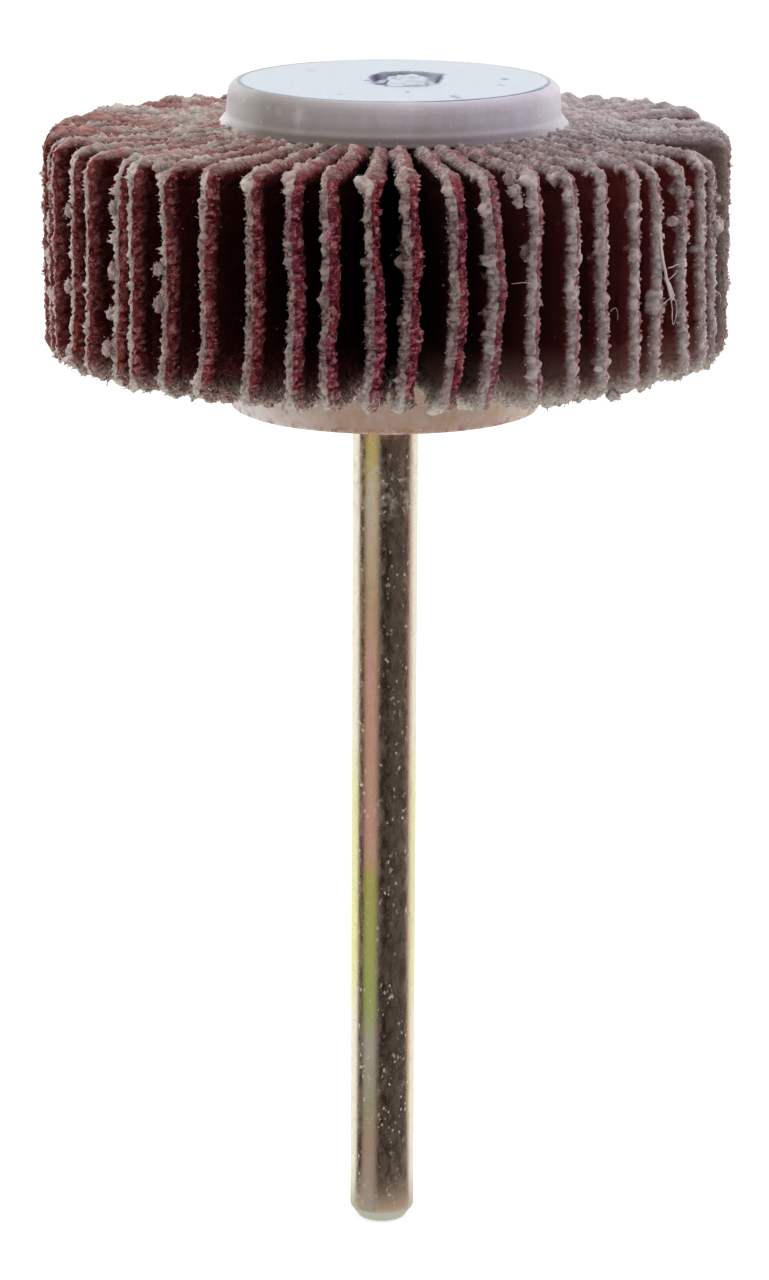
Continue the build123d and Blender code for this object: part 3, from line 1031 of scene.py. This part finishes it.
def hubFinish():
    look = hubLook
    finish = Finish(bpy.data.materials.new("milky_resin"))
    x, y, z = finish.position()
    flapLow, flapHigh = [corner[2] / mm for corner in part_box("flap_01")]
    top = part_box("hub")[1][2] / mm
    radius = ((x - look["upperShift"]) ** 2 + y * y) ** 0.5
    cloud = finish.noise(0.5, 4, 0.6)
    side = finish.mix(z.ramp(flapHigh + 0.3, flapHigh + 1.1), look["footColour"], look["sideColour"])
    side = finish.mix(z.ramp(top - 0.75, top - 0.35), side, look["rimColour"])
    # painted shade on the left side in cloudy patches, and on the right, darker lilac that tones down the
    # right lamp
    side = finish.mix((0 - x).ramp(-1, 5) * cloud.ramp(0.1, 0.5) * 0.85, side, look["leftShadeColour"])
    side = finish.mix(x.ramp(0, 6) * 0.8, side, look["rightShadeColour"])
    # painted highlight at the hub's far left and right ends
    ends = (0 - x).ramp(5.4, 7.2) * 0.6 + x.ramp(6.2, 7.6) * 0.35
    side = finish.mix(ends, side, look["sideEndHighlight"])
    streak = finish.noise(1.4, 4, 0.65, where=finish.stretch((1, 1, 0.3)))
    side = finish.mix((streak - 0.35) * 0.7, side, look["lowColour"])
    # painted highlight low on the hub's far left, in the pale specks' colour
    lowLeftHighlight = (0 - x).ramp(6.9, 7.6) * (1 - z.ramp(flapHigh + 0.5, flapHigh + 1.1))
    side = finish.mix(lowLeftHighlight, side, look["specks"])
    mottle = finish.noise(1.6, 4, 0.7)
    boss = finish.mix(mottle.ramp(0.3, 0.7) * 0.4, look["bossColour"], look["sideColour"])
    # paler towards the lower boss's ends: painted light, in mottled patches
    ends = (0 - x).ramp(2, 5.5) + x.ramp(4, 7) * 0.5
    boss = finish.mix(ends * mottle.ramp(0.1, 0.5), boss, look["bossEndLight"])
    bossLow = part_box("hub")[0][2] / mm
    flashMarks = (1 - z.ramp(bossLow + 0.1, bossLow + 0.4)) * finish.noise(2.6, 3, 0.7).ramp(0.5, 0.62)
    boss = finish.mix(flashMarks * 0.7, boss, look["flashColour"])
    colour = finish.mix(z.ramp(flapLow - 0.4, flapLow), boss, side)
    # painted shade on the barrel between the flaps
    hidden = z.band(flapLow, flapLow + 0.2, flapHigh - 0.2, flapHigh) * (1 - radius.ramp(7.3, 7.5))
    colour = finish.mix(hidden, colour, look["rootShadeColour"])
    flat = z.ramp(top - 0.7, top - 0.5) * (1 - radius.ramp(6.9, 7.0))
    colour = finish.mix(flat, colour, look["topColour"])
    # painted shade and reflection along the fine groove inside the rim, mostly at the front
    fromLine = radius - look["line"][0]
    grooveShade = 1 - fromLine.maths("ABSOLUTE", fromLine).ramp(0.03, 0.13)
    grooveShade = grooveShade * z.ramp(top - 0.5, top - 0.45) * finish.noise(0.6, 2).ramp(0.2, 0.4)
    grooveShade = grooveShade * (1 - y.ramp(-2.5, 2) * 0.85)
    colour = finish.mix(grooveShade * 0.85, colour, look["grooveShadeColour"])
    # painted shade and reflection in the top's hollows, also made rougher
    hollowShade = finish.attribute("hollowShade")
    colour = finish.mix(hollowShade * 0.95, colour, look["hollowShadeColour"])
    specks = 1 - finish.cells(1.6).ramp(0.05, 0.11)
    colour = finish.mix(specks * 0.7 * (1 - flat), colour, look["specks"])
    scratch = finish.noise(3.0, 3, 0.6, where=finish.stretch((1, 0.12, 1)))
    fine = finish.noise(6.0, 3, 0.6)
    sockets = {
        "Base Color": colour,
        "Roughness": 0.55 - flat * 0.36 + fine * 0.1 + hollowShade * 0.5,
        "Normal": finish.bump(fine * (0.9 - 0.5 * flat) + scratch * 0.5 + cloud * 2, 0.03, 0.5),
        "Subsurface Weight": 0.5,
        "Subsurface Radius": (1.0, 0.8, 0.7),
        "Subsurface Scale": 0.8 * mm,
        "IOR": 1.45,
    }
    return finish.principled(sockets)


# Shank

shankLook = {
    "radius": 1.5,  # mm
    "endRadius": 1.12,
    "endLength": 0.55,
    "knurlTeeth": 18,
    "knurlDepth": 0.2,
    "around": 120,
    "tan": paint(238, 206, 182),
    # cream and yellow for the shank's edges, a painted reflection of the bright tent
    "cream": paint(246, 238, 216),
    "yellow": paint(236, 238, 150),
    "end": paint(236, 236, 222),
    "speck": paint(230, 222, 206),
    # tints of the plating's film from the free end up: (height in mm, colour)
    "film": [(0, paint(206, 194, 177)), (4, paint(218, 182, 158)), (6, paint(200, 196, 156)),
             (9, paint(222, 207, 189)), (11, paint(204, 214, 132)), (16.5, paint(220, 212, 118)),
             (18.5, paint(250, 190, 166)), (27, paint(254, 192, 168)), (31, paint(234, 200, 158)),
             (34.5, paint(250, 226, 192)), (37, paint(243, 218, 140)), (39.4, paint(240, 212, 130))],
    # the film's tints are painted only between these angles, where the shank reflects the tent's light: the
    # plating's film and a painted reflection
    "filmSides": (-45, -39, -14, -9),  # angles from the front between which the film shows
}


def makeShank(material):
    look = shankLook
    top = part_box("shank")[1][2] / mm
    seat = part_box("hub")[0][2] / mm
    radius, end, chamfer = look["radius"], look["endRadius"], look["endLength"]
    profile = np.concatenate([
        np.linspace((0.1, 0), (end - 0.06, 0), 6),
        [(end - 0.02, 0.01), (end + 0.01, 0.04)],
        np.linspace((end + 0.03, 0.08), (radius - 0.04, chamfer - 0.07), 6),
        [(radius - 0.012, chamfer - 0.015), (radius, chamfer + 0.04)],
        np.linspace((radius, chamfer + 0.2), (radius, seat - 0.02), 24),
        np.linspace((radius, seat + 0.02), (radius, top), 8),
    ])
    points = turned(profile, look["around"])
    angle = np.arctan2(points[..., 1], points[..., 0])
    tooth = np.abs((angle * look["knurlTeeth"] / (2 * np.pi)) % 1 - 0.5) * 2
    cut = np.where(points[..., 2] > seat, look["knurlDepth"] * (1 - tooth), 0)
    points[..., :2] *= (1 - cut / radius)[..., None]
    points, faces = closeTurned(points, (0, 0, 0), (0, 0, top))
    thing = makeMesh("steel_shank", points, faces)
    place(thing, "shank", material)


def shankFinish():
    look = shankLook
    finish = Finish(bpy.data.materials.new("yellow_plated_steel"))
    x, y, z = finish.position()
    cloud = finish.noise(0.5, 4, 0.6)
    fine = finish.noise(12, 3, 0.7)
    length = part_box("hub")[0][2] / mm
    stops = [(height / length, colour) for height, colour in look["film"]]
    film = finish.gradient(stops, (z + (cloud - 0.5) * 3) / length)
    # the film's tints only in a stripe at a fixed bearing, where the shank reflects the light: partly the
    # plating's film, partly painted reflection
    turn = finish.bearing(x, y) + (cloud - 0.5) * 8
    filmReflectionStripe = turn.band(*look["filmSides"])
    # cream and yellow at the shank's left and right edges: painted reflection of the bright tent's sides,
    # yellow over part of the length
    yellow = z.band(10, 12, 21, 24) * 0.7
    sides = finish.mix(yellow, look["cream"], look["yellow"])
    colour = finish.mix(turn.ramp(55, 62) + (1 - turn.ramp(-55, -48)), look["tan"], sides)
    colour = finish.mix(filmReflectionStripe, colour, film)
    colour = finish.mix(1 - z.ramp(0.5, 0.6), colour, look["end"])
    flecks = finish.parts(finish.cells(12, output="Color", where=finish.stretch((1, 1, 0.6))))[0]
    specks = flecks.ramp(0.94, 0.97) * finish.noise(1.2, 4, 0.7).ramp(0.44, 0.56)
    scuffs = finish.noise(3.5, 5, 0.75, where=finish.stretch((1, 1, 0.35))).ramp(0.4, 0.75)
    colour = finish.mix(specks * 0.8, colour, look["speck"])
    worn = finish.noise(2.4, 4, 0.7).ramp(0.48, 0.6) * z.band(34, 34.8, 36.6, 37.2)
    colour = finish.mix(worn * 0.7, colour, look["speck"])
    lines = finish.noise(6, 4, 0.75, where=finish.stretch((1, 1, 0.08)))
    sockets = {
        "Base Color": colour,
        "Metallic": 1 - scuffs * 0.14 - specks * 0.6 - worn * 0.3,
        "Roughness": 0.16 + fine * 0.14 + specks * 0.4 + scuffs * 0.2,
        "Normal": finish.bump(lines * 0.5 + fine * 0.5 + specks * 0.6, 0.012, 0.6),
    }
    return finish.principled(sockets)


# Floor and world

stageLook = {
    "floorSize": 4000,  # mm
    "floorColour": paint(216, 216, 216),
    "floorGlow": 0.54,  # seen by the camera only, so that the floor is as pale as the background
}

# What reflections see round the object, by angle from the front, plus to the right: (degrees, strength).
# It is a white tent with a dark open front.
bands = [(-180, 1.0), (-104, 1.0), (-97, 0.04), (-76, 0.03), (-70, 0.48), (-27, 0.5), (-18, 0.022),
         (12, 0.022), (36, 0.06), (84, 0.07), (94, 0.05), (106, 0.9), (180, 1.0)]


def bandedStrength(finish, x, y):
    stops = [((degrees + 180) / 360, grey(strength)) for degrees, strength in bands]
    return finish.gradient(stops, (finish.bearing(x, y) + 180) / 360)


def makeFloor():
    half = stageLook["floorSize"] / 2
    points = np.array([(-half, -half, 0), (half, -half, 0), (half, half, 0), (-half, half, 0)], float)
    thing = makeMesh("floor", points, [np.array([[0, 1, 2, 3]])])
    finish = Finish(bpy.data.materials.new("pale_floor"))
    x, y, _ = finish.position()
    plain = finish.node("ShaderNodeBsdfDiffuse", {}, {"Color": stageLook["floorColour"]})
    strength = finish.lightPath("Is Camera Ray") * stageLook["floorGlow"]
    glow = finish.node("ShaderNodeEmission", {}, {"Strength": strength})
    both = finish.node("ShaderNodeAddShader", {}, {0: plain, 1: glow})
    reach = (x * x + y * y) ** 0.5
    mirrored = finish.mix(reach.ramp(2.5, 7), paint(196, 196, 190), bandedStrength(finish, x, y))
    tent = finish.node("ShaderNodeEmission", {}, {"Color": mirrored})
    shown = finish.node("ShaderNodeMixShader", {}, {0: finish.lightPath("Is Glossy Ray"), 1: both, 2: tent})
    finish.node("ShaderNodeOutputMaterial", {}, {"Surface": shown}, output=None)
    thing.data.materials.append(finish.owner)


def makeWorld():
    world = bpy.data.worlds.new("soft_tent")
    bpy.context.scene.world = world
    finish = Finish(world)
    x, y, z = finish.parts(finish.place)
    mirrored = finish.mix(z.ramp(0.5, 0.8), bandedStrength(finish, x, y), grey(1))
    front = (0 - y).ramp(0.05, 0.7) * (1 - z.ramp(0.3, 0.9))
    soft = finish.mix(front, grey(light["dome"]), grey(light["domeFront"]))
    colour = finish.mix(finish.lightPath("Is Glossy Ray"), soft, mirrored)
    colour = finish.mix(finish.lightPath("Is Camera Ray"), colour, grey(1))
    glow = finish.node("ShaderNodeBackground", {}, {"Color": colour})
    finish.node("ShaderNodeOutputWorld", {}, {"Surface": glow}, output=None)


bpy.context.scene.view_settings.view_transform = "Standard"
makeCamera()
makeLamps()
makeWorld()
makeFloor()
report("camera, light and floor")

makeShank(shankFinish())
report("shank")
makeHub(hubFinish())
report("hub")
cloth = clothFinish()
flapCount = sum(name.startswith("flap_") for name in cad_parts)
for number in range(1, flapCount + 1):
    makeFlap(number, cloth)
report(f"{flapCount} flaps")
